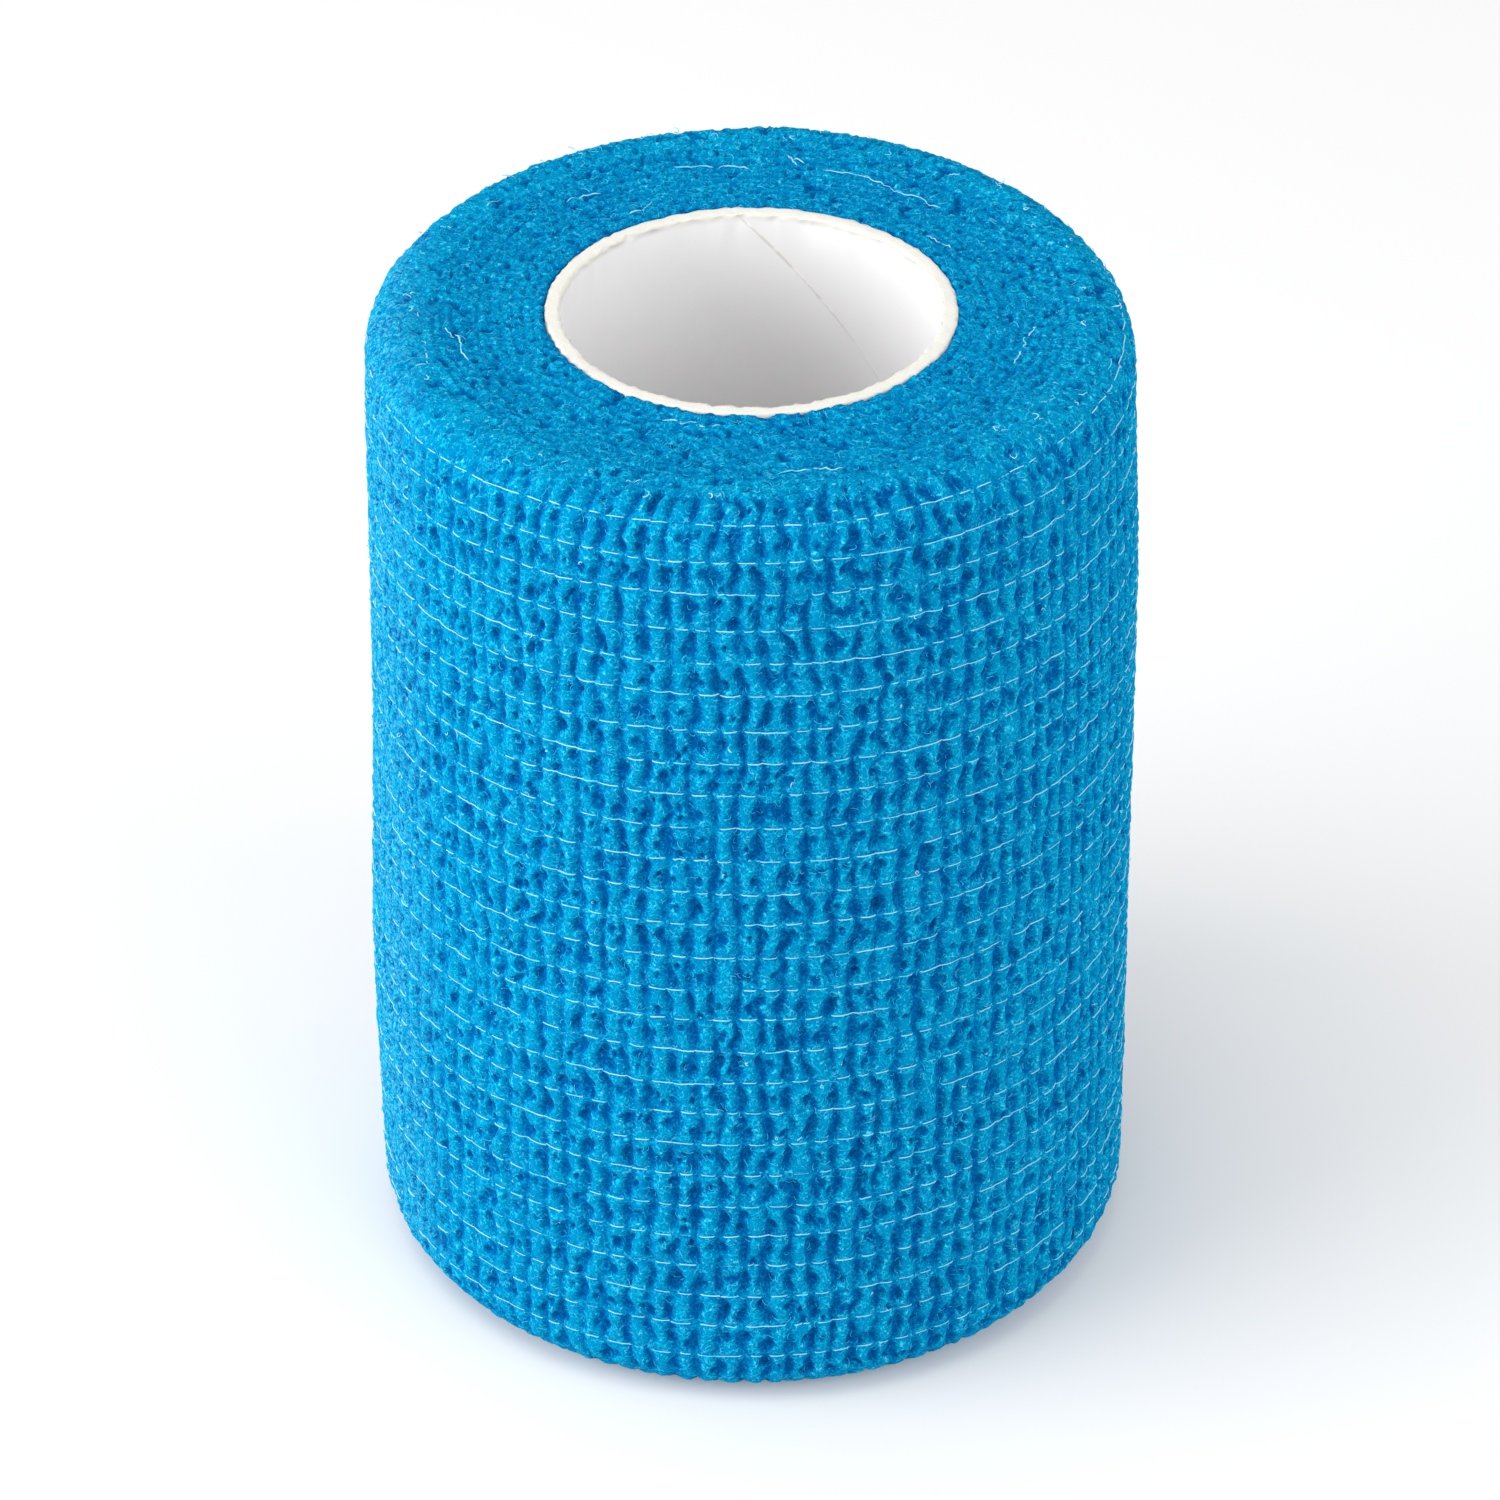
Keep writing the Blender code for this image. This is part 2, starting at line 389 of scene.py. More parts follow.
    def wall_radius(self, turned, z):
        """Radius to the rib crests, at an angle from the cut end and at a height."""
        shape = self.shape
        angle = CUT_END_ANGLE + turned
        flare = shape.foot_flare * (1 - z / ROLL_HEIGHT)
        pulled = 1 - 0.65 * smooth_step(z, ROLL_HEIGHT - shape.edge_round, ROLL_HEIGHT)
        spiral = shape.turn * (turned / tau - 0.5) * pulled
        oval = shape.oval * np.cos(2 * (angle - self.BELLY_SIDE))
        facing = np.maximum(0.0, np.cos(angle - self.BELLY_SIDE))
        belly = shape.belly * facing * np.exp(-(((z - shape.belly_z) / shape.belly_spread) ** 2))
        right = np.clip(np.cos(angle - self.SHOULDER_SIDE), 0.0, 1.0) ** 2
        tuck = shape.shoulder * (0.10 + 0.90 * right)
        tuck = tuck * smooth_step(z, self.SHOULDER_START * ROLL_HEIGHT, ROLL_HEIGHT)
        return shape.top_radius + flare + spiral + oval + belly - tuck

    def hung(self, turned, s):
        """Where along the section a place really lies, as the threads hang lower at the sides."""
        side = np.cos(CUT_END_ANGLE + turned)
        low = np.clip(-side, 0, 1) ** 1.3 + 0.35 * np.clip(side, 0, 1)
        above = 1 - smooth_step(s, self.lines[-1] + 0.3 * MM, self.end)
        below = 0.6 * smooth_step(s, 0.0, 14 * MM) + 0.4 * smooth_step(s, 14 * MM, 45 * MM)
        return s - self.shape.sag * low * above * below

    def section(self, s):
        """Inset from the wall and height at s, and the outward direction there as outwards and upwards."""
        under, over = self.shape.foot_round, self.shape.edge_round
        below = np.clip((s - self.foot) / under, 0, pi / 2)
        above = np.clip((s - self.high) / over, 0, pi / 2)
        inset = under * (1 - np.sin(below)) + over * (1 - np.cos(above))
        inset = inset + np.maximum(0, self.foot - s) + np.maximum(0, s - self.top)
        wall = np.clip(s - self.low, 0, self.high - self.low)
        z = under * (1 - np.cos(below)) + wall + over * np.sin(above)
        return inset, z, np.sin(below) * np.cos(above), np.sin(above) - np.cos(below)

    def place(self, turned, s, height):
        """Points of the outer turn, with their height over the plain surface along its outward direction."""
        inset, z, outwards, upwards = self.section(s)
        radius = self.wall_radius(turned, z) - inset + outwards * height
        return upright(radius, CUT_END_ANGLE + turned, np.maximum(z + upwards * height, 0.0))

    def outer(self, rib, share, s, lift=0.0):
        """Points on the outer turn, and their height there. The ribs end where the curled cloth does."""
        turned = self.turned(rib, share, s)
        real = self.hung(turned, s)
        ragged = self.RAGGED * along(self.furrow, rib, np.full_like(s, self.RAGGED_PLACE))
        aside = np.where(np.cos(turned) > 0, 1.0, np.abs(np.sin(turned)))
        retreat = self.shape.rib_retreat * smooth_step(aside, 0.3, 0.9)
        ribs = smooth_step(self.top - real - retreat + ragged, -0.1 * MM, self.TOP_FADE)
        ribs = ribs * smooth_step(real - self.foot + ragged, -0.1 * MM, self.FOOT_FADE)
        far_side = 0.5 + 0.5 * np.cos(turned)
        curl = smooth_step(real, self.high, self.high + self.CURL_FADE)
        pressed = 1 - 0.72 * far_side * curl
        plain = self.place(turned, real, 0.0)
        felt = self.felted(plain[..., 0], plain[..., 1])
        height = ribs * pressed * self.ribbed(rib, share, s) + (1 - ribs * pressed) * felt
        raised = smooth_step(self.top - real, 0.0, self.TOP_FADE)
        sunk = self.shape.crest_sink * (1 - curl) - self.shape.edge_lift * curl * far_side * raised
        height = height - sunk
        return self.place(turned, real, height + lift), height + sunk

    def rows(self):
        """Distances along the section for the rows of the grid, close together beside threads and pits."""
        lines = self.lines
        step = self.pitch / len(CELL_SHARES)
        rows = list(np.linspace(0, lines[0], int(lines[0] / step), endpoint=False))
        for start, stop in zip(lines, lines[1:]):
            rows += [start + share * (stop - start) for share in CELL_SHARES]
        rows += list(np.linspace(lines[-1], self.end, int((self.end - lines[-1]) / step) + 1))
        return np.array(rows)


def grid_columns(first, ribs):
    """Rib and share for each column of a grid over some ribs, whose last column ends the last rib."""
    rib = np.repeat(np.arange(first, first + ribs), len(RIB_SHARES))
    return np.append(rib, first + ribs - 1), np.append(np.tile(RIB_SHARES, ribs), 1.0)


# ---- meshes


def grid_faces(columns, rows):
    """Quads of a grid whose points run up each column in turn."""
    c, r = np.meshgrid(np.arange(columns - 1), np.arange(rows - 1), indexing="ij")
    a = (c * rows + r).ravel()
    return np.stack([a, a + rows, a + rows + 1, a + 1], axis=1)


def make_mesh(name, points, faces, relief=None, pits=None):
    """A smooth mesh with the values that its paint reads: one a point for relief, three a corner for pits."""
    mesh = bpy.data.meshes.new(name)
    mesh.from_pydata(points.reshape(-1, 3), [], faces.tolist())
    if relief is not None:
        made = mesh.attributes.new("relief", "FLOAT", "POINT")
        made.data.foreach_set("value", relief.astype(np.float32).ravel())
    if pits is not None:
        made = mesh.attributes.new("pits", "FLOAT_VECTOR", "CORNER")
        made.data.foreach_set("vector", pits.astype(np.float32).ravel())
    mesh.shade_smooth()
    mesh.update()
    return mesh


def linked(name, data):
    made = bpy.data.objects.new(name, data)
    bpy.context.scene.collection.objects.link(made)
    return made


def make_piece(mesh, paint, slot, *replaced):
    """A finished piece of the part, named after its mesh and riding on the part's one body."""
    mesh.materials.clear()
    mesh.materials.append(paint)
    piece = linked(mesh.name, mesh)
    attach(piece, BODY)
    if replaced:
        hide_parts(*replaced)


# ---- node trees


def operator(operation, swapped=False):
    """One of Python's operators, which adds a Math node. The swapped form has the other value first."""

    def apply(self, *other):
        values = (*other, self) if swapped else (self, *other)
        return self.paint.math(operation, *values)

    return apply


class Wire:
    """A number in a material, to be used in plain expressions."""

    __add__ = operator("ADD")
    __radd__ = operator("ADD", True)
    __sub__ = operator("SUBTRACT")
    __rsub__ = operator("SUBTRACT", True)
    __mul__ = operator("MULTIPLY")
    __rmul__ = operator("MULTIPLY", True)
    __truediv__ = operator("DIVIDE")
    __pow__ = operator("POWER")
    __abs__ = operator("ABSOLUTE")

    def __init__(self, paint, socket):
        self.paint = paint
        self.socket = socket


class Nodes:
    """A node tree under construction, which gets its nodes from one method."""

    def __init__(self, tree):
        self.tree = tree

    def feed(self, socket, value):
        """Links a socket to its source, or gives it a value of its own."""
        if isinstance(value, Wire):
            value = value.socket
        if isinstance(value, bpy.types.NodeSocket):
            self.tree.links.new(value, socket)
        elif socket.type == "RGBA" and len(value) == 3:
            socket.default_value = (*value, 1.0)
        else:
            socket.default_value = value

    def node(self, kind, sockets=None, **choices):
        """Adds a node: first its choices, such as an operation, then the values or sources of its sockets."""
        made = self.tree.nodes.new(kind)
        for name, value in choices.items():
            setattr(made, name, value)
        for name, value in (sockets or {}).items():
            self.feed(made.inputs[name], value)
        return made


class Paint(Nodes):
    """One material, which takes its colours from the settings."""

    def __init__(self, name, **constants):
        self.material = bpy.data.materials.new(name)
        self.material.use_nodes = True
        super().__init__(self.material.node_tree)
        self.colours = bpy.context.scene.roll_colours
        self.shine(**constants)

    def shine(self, **values):
        """Feeds sockets of the surface shader, named with underscores for spaces."""
        shader = self.tree.nodes["Principled BSDF"]
        for name, value in values.items():
            self.feed(shader.inputs[name.replace("_", " ")], value)
        return self.material

    def math(self, operation, *values):
        made = self.node("ShaderNodeMath", dict(enumerate(values)), operation=operation)
        return Wire(self, made.outputs[0])

    def ramp(self, value, low, high):
        """From 0 at the low value to 1 at the high one, eased at both ends."""
        sockets = {"Value": value, "From Min": low, "From Max": high}
        made = self.node("ShaderNodeMapRange", sockets, interpolation_type="SMOOTHSTEP")
        return Wire(self, made.outputs["Result"])

    def where(self):
        """The place on the object, in metres."""
        return self.node("ShaderNodeTexCoord").outputs["Object"]

    def stored(self, name):
        """What the mesh holds under a name, as a number and as a vector."""
        outputs = self.node("ShaderNodeAttribute", attribute_name=name).outputs
        return Wire(self, outputs["Fac"]), outputs["Vector"]

    def vector(self, operation, first, second):
        return self.node("ShaderNodeVectorMath", {0: first, 1: second}, operation=operation).outputs[0]

    def noise(self, place, size, detail=2.0, rough=0.5):
        """Noise with lumps of about the given size, in metres."""
        sockets = {"Vector": place, "Scale": 1 / size, "Detail": detail, "Roughness": rough}
        return Wire(self, self.node("ShaderNodeTexNoise", sockets).outputs["Fac"])

    def spots(self, place, shift, size, low, high, rough=0.5, detail=2.0):
        """Ragged spots of about the given size, from noise read some way off."""
        return self.ramp(self.noise(self.vector("ADD", place, shift), size, detail, rough), low, high)

    def warped(self, place, size, reach):
        """The place, shaken about so that what is drawn on it curls."""
        shake = self.node("ShaderNodeTexNoise", {"Vector": place, "Scale": 1 / size, "Detail": 1.0})
        centred = self.vector("SUBTRACT", shake.outputs["Color"], (0.5, 0.5, 0.5))
        scaled = self.node("ShaderNodeVectorMath", {0: centred, "Scale": 2 * reach}, operation="SCALE")
        return self.vector("ADD", place, scaled.outputs[0])

    def strands(self, place, size, width):
        """Fine lines that curl about in loops of about the given size."""
        field = self.noise(place, size, 1.0, 0.6)
        return 1 - self.ramp(abs(field - 0.5), 0.25 * width, width)

    def parts(self, vector):
        return [Wire(self, output) for output in self.node("ShaderNodeSeparateXYZ", {0: vector}).outputs]

    def mix(self, share, first, second):
        return self.node("ShaderNodeMix", {0: share, 6: first, 7: second}, data_type="RGBA").outputs[2]

    def bump(self, height, distance, strength, **normal):
        sockets = {"Height": height, "Distance": distance, "Strength": strength, **normal}
        return self.node("ShaderNodeBump", sockets).outputs["Normal"]


def found(name, build):
    """The material of that name, built the first time it is asked for."""
    return bpy.data.materials.get(name) or build(name)


LEFT_SHEEN_X = (-26.5 * MM, -21.0 * MM)  # where a painted sheen lightens the far left of the cloth, the side the light grazes, fading inwards
# the colour of the painted sheen on the far left
LEFT_SHEEN_COLOUR = (0.14, 0.61, 0.84)


def cloth_paint(name):
    """Crinkled nonwoven: a web of fine fibres, with painted shade in the furrows and pits, which leaves the
    crests brightest.
    """
    sheen = {"Sheen_Weight": 0.05, "Sheen_Roughness": 0.5, "Sheen_Tint": (0.10, 0.75, 1.0)}
    paint = Paint(name, Specular_IOR_Level=0.0, **sheen)
    colours = paint.colours
    place = paint.where()
    relief, _ = paint.stored("relief")
    _, pits = paint.stored("pits")
    across, up, there = paint.parts(pits)
    grain = paint.noise(place, 0.20 * MM, 3.0, 0.65)
    tufts = paint.noise(place, 0.42 * MM, 1.0)
    patches = paint.noise(place, 0.85 * MM)
    # A painted sheen on the far left, where the light grazes the cloth: 1 there, fading inwards.
    left_sheen = 1 - paint.ramp(paint.parts(place)[0], *LEFT_SHEEN_X)
    # The pits, with blotted edges and painted shade in them, and the fibres that stand up round them.
    blot = abs(across) ** 1.4 + abs(up) ** 1.4 + (grain - 0.5) * 0.8 + (tufts - 0.5) * 1.6
    # Under that painted sheen the pits get less of their painted shade.
    pit = there * (1 - paint.ramp(blot, 0.05, 1.40)) * (1 - 0.6 * left_sheen)
    lip = there * paint.ramp(blot, 0.95, 1.25) * (1 - paint.ramp(blot, 1.35, 1.9))
    # The web of curled fibres, in two sizes that take turns and one that runs through both.
    curled = paint.warped(place, 0.40 * MM, 0.10 * MM)
    elsewhere = paint.vector("ADD", curled, (0.013, 0.007, 0.021))
    through = paint.vector("ADD", place, (0.05, 0.02, 0.01))
    wide = paint.strands(curled, 0.52 * MM, 0.060) * paint.ramp(patches, 0.48, 0.58)
    tight = paint.strands(elsewhere, 0.40 * MM, 0.060) * (1 - paint.ramp(patches, 0.40, 0.50))
    web = paint.math("MAXIMUM", paint.math("MAXIMUM", wide, tight), paint.strands(through, 0.62 * MM, 0.035))
    # The brightness of the cloth, with painted shade from its relief and its pits, then the fibres, which
    # that shade dims too, the flecks and a painted sheen on the far left over it.
    level = 0.80 * relief + (grain - 0.5) * 0.55 + (tufts - 0.5) * 0.50 + (patches - 0.5) * 0.10
    level = paint.ramp(level, -0.12, 1.0) * (1 - 0.74 * pit)
    color = paint.mix(level, colours.deep, colours.body)
    color = paint.mix(web * (0.16 + 0.56 * level) * (0.85 + 0.5 * lip), color, colours.bright)
    flecks = paint.spots(place, (0.02, 0.05, 0.03), 0.28 * MM, 0.56, 0.68)
    color = paint.mix(flecks * web * level, color, colours.lint)
    # Mottled spots of the painted sheen on the far left.
    sheen_mottle = paint.spots(place, (0.01, 0.03, 0.08), 0.30 * MM, 0.49, 0.62, 0.7, 3.0)
    color = paint.mix(sheen_mottle * left_sheen * 0.50, color, LEFT_SHEEN_COLOUR)
    coarse = paint.bump(grain * (0.3 + relief) - 0.8 * pit, 0.09 * MM, 0.8)
    normal = paint.bump(web * level, 0.05 * MM, 0.9, Normal=coarse)
    return paint.shine(Base_Color=color, Normal=normal, Roughness=0.72 + 0.2 * grain)


def thread_paint(name):
    """White elastic thread, with cloth colour caught in it here and there."""
    paint = Paint(name, Specular_IOR_Level=0.3)
    place = paint.where()
    caught = paint.ramp(paint.noise(place, 1.1 * MM), 0.45, 0.72)
    color = paint.mix(caught * 0.75, paint.colours.thread, paint.colours.bright)
    normal = paint.bump(paint.noise(place, 0.10 * MM), 0.02 * MM, 0.5)
    return paint.shine(Base_Color=color, Normal=normal, Roughness=0.45 + 0.2 * caught)


def lint_paint(name):
    """Single fibres, some of them brighter than the cloth."""
    paint = Paint(name, Specular_IOR_Level=0.3)
    patches = paint.noise(paint.where(), 0.9 * MM, 1.0)
    color = paint.mix(paint.ramp(patches, 0.35, 0.65), paint.colours.bright, paint.colours.lint)
    return paint.shine(Base_Color=color, Roughness=0.5 + 0.2 * patches)


SEAM_LEAD = 83.0 * MM  # height in which the seam of the liner winds once round the bore
SEAM_TURN = 94.5 / 360  # where it meets the top rim, in turns
SEAM_SHOWS = (64 * MM, 69 * MM)  # height over which it comes into sight
SEAM_COLOUR = (0.62, 0.59, 0.49)
LINER_CLOUDS = (0.840, 0.835, 0.838)
RIM_FIBRES = (0.80, 0.79, 0.745)


def board_paint(name):
    """Paperboard: a fibrous cream rim, and a smooth liner whose spiral seam winds down the bore."""
    paint = Paint(name, Specular_IOR_Level=0.2)
    place = paint.where()
    x, y, z = paint.parts(place)
    rim, _ = paint.stored("relief")
    turn = paint.math("ARCTAN2", y, x) / tau
    phase = (z - ROLL_HEIGHT) / SEAM_LEAD - turn + SEAM_TURN
    away = abs(paint.math("WRAP", phase, 0.5, -0.5)) * SEAM_LEAD
    ragged = paint.noise(place, 1.2 * MM, 3.0)
    seam = 1 - paint.ramp(away + (ragged - 0.5) * (0.25 * MM), 0.04 * MM, 0.20 * MM)
    mottle = paint.noise(place, 2.2 * MM, 4.0, 0.6)
    fibres = paint.noise(place, 0.18 * MM, 3.0, 0.6)
    liner = paint.mix(paint.ramp(mottle, 0.3, 0.7) * 0.35, paint.colours.liner, LINER_CLOUDS)
    worn = paint.ramp(paint.noise(place, 1.0 * MM, 1.0), 0.36, 0.52)
    liner = paint.mix(seam * worn * paint.ramp(z, *SEAM_SHOWS) * 0.65, liner, SEAM_COLOUR)
    edge = paint.mix(paint.ramp(fibres, 0.35, 0.7) * 0.3, paint.colours.board, RIM_FIBRES)
    normal = paint.bump(fibres * (0.15 + rim * 0.85) + seam * 0.5, 0.06 * MM, 0.6)
    return paint.shine(Base_Color=paint.mix(rim, liner, edge), Normal=normal, Roughness=0.8 + 0.1 * mottle)


class Tree(Nodes):
    """A Geometry Nodes tree, with an input for each number that it needs and one for the material."""

    def __init__(self, name, **kinds):
        super().__init__(bpy.data.node_groups.new(name, "GeometryNodeTree"))
        self.ids = {}
        for label, kind in {"Geometry": "Geometry", **kinds, "Material": "Material"}.items():
            made = self.tree.interface.new_socket(label, in_out="INPUT", socket_type="NodeSocket" + kind)
            self.ids[label] = made.identifier
        self.tree.interface.new_socket("Geometry", in_out="OUTPUT", socket_type="NodeSocketGeometry")
        self.inputs = self.node("NodeGroupInput")

    def given(self, label):
        return self.inputs.outputs[label]

    def tubes(self, path, corners, **scale):
        """Gives paths a round section of a few corners, of the radius that the tree is given."""
        sockets = {"Resolution": corners, "Radius": self.given("Radius")}
        ring = self.node("GeometryNodeCurvePrimitiveCircle", sockets).outputs[0]
        sockets = {"Curve": path, "Profile Curve": ring, "Fill Caps": True, **scale}
        return self.node("GeometryNodeCurveToMesh", sockets).outputs[0]

    def draw(self, low, high, first=2, output=1, kind="FLOAT"):
        """A random value for each point. Where its sockets are goes with its kind."""
        sockets = {first: low, first + 1: high, "Seed": self.given("Seed")}
        return self.node("FunctionNodeRandomValue", sockets, data_type=kind).outputs[output]

    def close(self, geometry):
        """Ends the tree with smooth, real and painted faces."""
        smooth = self.node("GeometryNodeSetShadeSmooth", {"Geometry": geometry})
        real = self.node("GeometryNodeRealizeInstances", {"Geometry": smooth.outputs[0]})
        sockets = {"Geometry": real.outputs[0], "Material": self.given("Material")}
        painted = self.node("GeometryNodeSetMaterial", sockets)
        self.node("NodeGroupOutput", {0: painted.outputs[0]})
        return self


def tube_tree():
    """Gives every path of a curve object a round section, which its own radius tapers."""
    tree = Tree("Thread tubes", Radius="Float", Sides="Int")
    taper = tree.node("GeometryNodeInputRadius").outputs[0]
    return tree.close(tree.tubes(tree.given("Geometry"), tree.given("Sides"), Scale=taper))


# Start, middle and end of an arc, a hook and a lazy S, for fibres one unit long.
FIBRE_BENDS = (
    ((-0.5, 0.0, -0.03), (-0.1, 0.25, 0.18), (0.5, 0.0, -0.03)),
    ((-0.4, 0.0, -0.03), (0.5, -0.1, 0.12), (0.2, 0.35, 0.22)),
    ((-0.5, -0.1, -0.02), (0.1, -0.3, 0.10), (0.45, 0.2, 0.05)),
)


def lint_tree():
    """Scatters bent fibres over a surface, each picked, turned and sized at random."""
    tree = Tree("Lint", Density="Float", Length="Float", Radius="Float", Seed="Int")
    sockets = {"Mesh": tree.given("Geometry"), "Density": tree.given("Density"), "Seed": tree.given("Seed")}
    spots = tree.node("GeometryNodeDistributePointsOnFaces", sockets).outputs
    size = tree.node("ShaderNodeCombineXYZ", {axis: tree.given("Length") for axis in "XYZ"}).outputs[0]
    fibres = tree.node("GeometryNodeGeometryToInstance")
    for start, middle, end in FIBRE_BENDS:
        sockets = {"Resolution": 3, "Start": start, "Middle": middle, "End": end}
        path = tree.node("GeometryNodeCurveQuadraticBezier", sockets).outputs[0]
        scaled = tree.node("GeometryNodeTransform", {"Geometry": path, "Scale": size}).outputs[0]
        tree.feed(fibres.inputs[0], tree.tubes(scaled, 3))
    sockets = {"Axis": (0.0, 0.0, 1.0), "Angle": tree.draw(0.0, tau)}
    spin = tree.node("FunctionNodeAxisAngleToRotation", sockets).outputs[0]
    sockets = {"Rotation": spots["Rotation"], "Rotate By": spin}
    turned = tree.node("FunctionNodeRotateRotation", sockets, rotation_space="LOCAL").outputs[0]
    picked = tree.draw(0, len(FIBRE_BENDS) - 1, 4, 2, "INT")
    sockets = {"Points": spots["Points"], "Instance": fibres.outputs[0], "Pick Instance": True}
    sockets.update({"Instance Index": picked, "Rotation": turned, "Scale": tree.draw(0.45, 1.2)})
    return tree.close(tree.node("GeometryNodeInstanceOnPoints", sockets).outputs[0])


def grown(name, source, tree, **values):
    """The plain mesh that a tree makes from the data of one object, which is then removed."""
    holder = linked(name + "_source", source)
    modifier = holder.modifiers.new(name, "NODES")
    modifier.node_group = tree.tree
    for label, value in values.items():
        modifier[tree.ids[label]] = value
    mesh = result_of(holder)
    holder.modifiers.remove(modifier)
    bpy.data.objects.remove(holder)
    bpy.data.node_groups.remove(tree.tree)
    mesh.name = name
    if not mesh.polygons:
        raise RuntimeError(f"{name}: the tree made no faces")
    return mesh


def result_of(holder):
    """The mesh that the modifier makes of an object. That of a curve is listed as an instance of it."""
    for made in bpy.context.evaluated_depsgraph_get().object_instances:
        parent = made.parent.original if made.parent else made.object.original
        if parent == holder and made.object.type == "MESH":
            return bpy.data.meshes.new_from_object(made.object)
    raise RuntimeError(f"{holder.name}: the tree made no mesh")


def thread_piece(name, paths, radius, sides):
    """A piece of elastic thread from straight-sided paths, each of points and a radius share for each."""
    data = bpy.data.curves.new(name, "CURVE")
    data.dimensions = "3D"
    for points, shares in paths:
        spline = data.splines.new("POLY")
        spline.points.add(len(points) - 1)
        fourth = np.ones((len(points), 1))
        spline.points.foreach_set("co", np.hstack([points, fourth]).ravel())
        spline.points.foreach_set("radius", shares)
    paint = found("elastic_thread", thread_paint)
    make_piece(grown(name, data, tube_tree(), Radius=radius, Sides=sides, Material=paint), paint, "cloth")


# ---- operators


class BANDAGE_OT_outer_turn(bpy.types.Operator):
    """Makes the crinkled outer turn, round both curled edges, in pieces that meet in furrows"""

    bl_idname = "bandage.outer_turn"
    bl_label = "Outer turn"
    bl_options = {"REGISTER", "UNDO"}

    FRAY = (-0.05 * MM, 0.16 * MM)  # of the cut end, forwards round the roll
    CUT_FACE = ((0.12, 1.0), (0.5, 0.3), (0.85, -0.6))  # share of the way down it, share of the fray

    def execute(self, context):
        roll = Roll()
        rows = roll.rows()
        paint = found("cohesive_cloth", cloth_paint)
        ribs_each = roll.count // WALL_PIECES
        for index in range(WALL_PIECES):
            ribs, shares = grid_columns(index * ribs_each, ribs_each)
            rib, s = np.meshgrid(ribs, rows, indexing="ij")
            share, _ = np.meshgrid(shares, rows, indexing="ij")
            points, height = roll.outer(rib, share, s)
            pits = roll.pit_map(ribs, shares, rows)
            if index == WALL_PIECES - 1:
                points, height = self.with_cut_end(roll, rows, points, height)
            faces = grid_faces(len(points), len(rows))
            plain = np.zeros((len(faces) - len(pits), 4, 3))
            # Relief runs from 0 in the deepest furrows to 1 on the crests; the cloth paint uses it for
            # painted shade in the furrows.
            relief = 1 + (height - roll.shape.rib_bulge * 0.3) / (roll.shape.rib_depth * 0.80)
            pits = np.concatenate([pits, plain])
            mesh = make_mesh(f"outer_turn_{index + 1}", points, faces, np.clip(relief, 0.0, 1.0), pits)
            make_piece(mesh, paint, "cloth", "bandage_roll")
        return {"FINISHED"}

    def with_cut_end(self, roll, rows, points, height):
        """Adds the face of the cut end: from the lip of the outer turn down to the turn below."""
        rng = np.random.default_rng(roll.shape.seed + 1)
        below, low = roll.outer(np.zeros(len(rows), int), np.zeros(len(rows)), rows)
        lip = points[-1]
        radial = lip / np.linalg.norm(lip[:, :2], axis=1, keepdims=True) * np.array([1.0, 1.0, 0.0])
        forward = np.cross(np.array([0.0, 0.0, 1.0]), radial)
        fray = rng.uniform(*self.FRAY, (len(rows), 1))
        steps = [lip * (1 - share) + below * share + forward * fray * reach for share, reach in self.CUT_FACE]
        shade = [height[-1] - 0.1 * MM, height[-1] - 0.3 * MM, low - 0.3 * MM, low]
        return np.concatenate([points, np.array([*steps, below])]), np.concatenate([height, np.array(shade)])


class BANDAGE_OT_end_faces(bpy.types.Operator):
    """Makes the felted top face and foot, where the edges of all the turns show"""

    bl_idname = "bandage.end_faces"
    bl_label = "End faces"
    bl_options = {"REGISTER", "UNDO"}

    LIP = 0.35 * MM  # width of the lip that the cloth turns down beside the tube
    TUCK = 1.2 * MM  # depth to which it turns down

    def execute(self, context):
        roll = Roll()
        self.make_face(roll, "top_face", roll.end, ROLL_HEIGHT, 1, 54)
        self.make_face(roll, "foot_face", 0.0, 0.0, -1, 16)
        return {"FINISHED"}

    def make_face(self, roll, name, border_s, level, upwards, rows):
        """A ring of felt, from the border of the outer turn to the tube, at a level and facing up or down."""
        ribs, shares = grid_columns(0, roll.count)
        s = np.full(len(ribs), border_s)
        border, border_height = roll.outer(ribs, shares, s)
        angle = CUT_END_ANGLE + roll.turned(ribs, shares, s)
        outer = np.linalg.norm(border[:, :2], axis=1)
        inner = tube_radius(angle, 0.04 * MM)
        wave = 0.12 * MM * lumps(roll.felt_b, 60 + 30 * np.cos(angle), 60 + 30 * np.sin(angle))
        points, heights = [border], [border_height]
        for row in range(1, rows + 1):
            share = row / rows
            radius = outer * (1 - share) + inner * share
            height = roll.felted(radius * np.cos(angle), radius * np.sin(angle))
            dish = roll.shape.end_dish * sin(pi * share) if upwards > 0 else 0.0
            lip = smooth_step(inner + self.LIP - radius, 0.0, self.LIP)
            z = level + upwards * (height - dish + 0.12 * MM * share - 0.08 * MM * lip)
            points.append(upright(radius + lip * wave, angle, np.maximum(z, 0.0)))
            # Painted shade: the relief drops on the lip that turns down beside the tube.
            heights.append(height - 0.10 * MM * lip)
        lowered = points[-1].copy()
        lowered[:, 2] = level - upwards * self.TUCK
        grid = np.swapaxes(np.array([*points, lowered]), 0, 1)
        # Painted shade: the tucked row's relief lies lower still.
        height = np.swapaxes(np.array([*heights, heights[-1] - 0.4 * MM]), 0, 1)
        faces = grid_faces(*height.shape)[:, ::upwards]
        # The paint reads this relief as painted shade in the holes, grooves and tuck, and the whole face
        # comes out darker than the crests of the outer turn.
        mesh = make_mesh(name, grid, faces, np.clip(0.66 + height / (0.50 * MM), 0, 1))
        make_piece(mesh, found("cohesive_cloth", cloth_paint), "cloth", "bandage_roll")


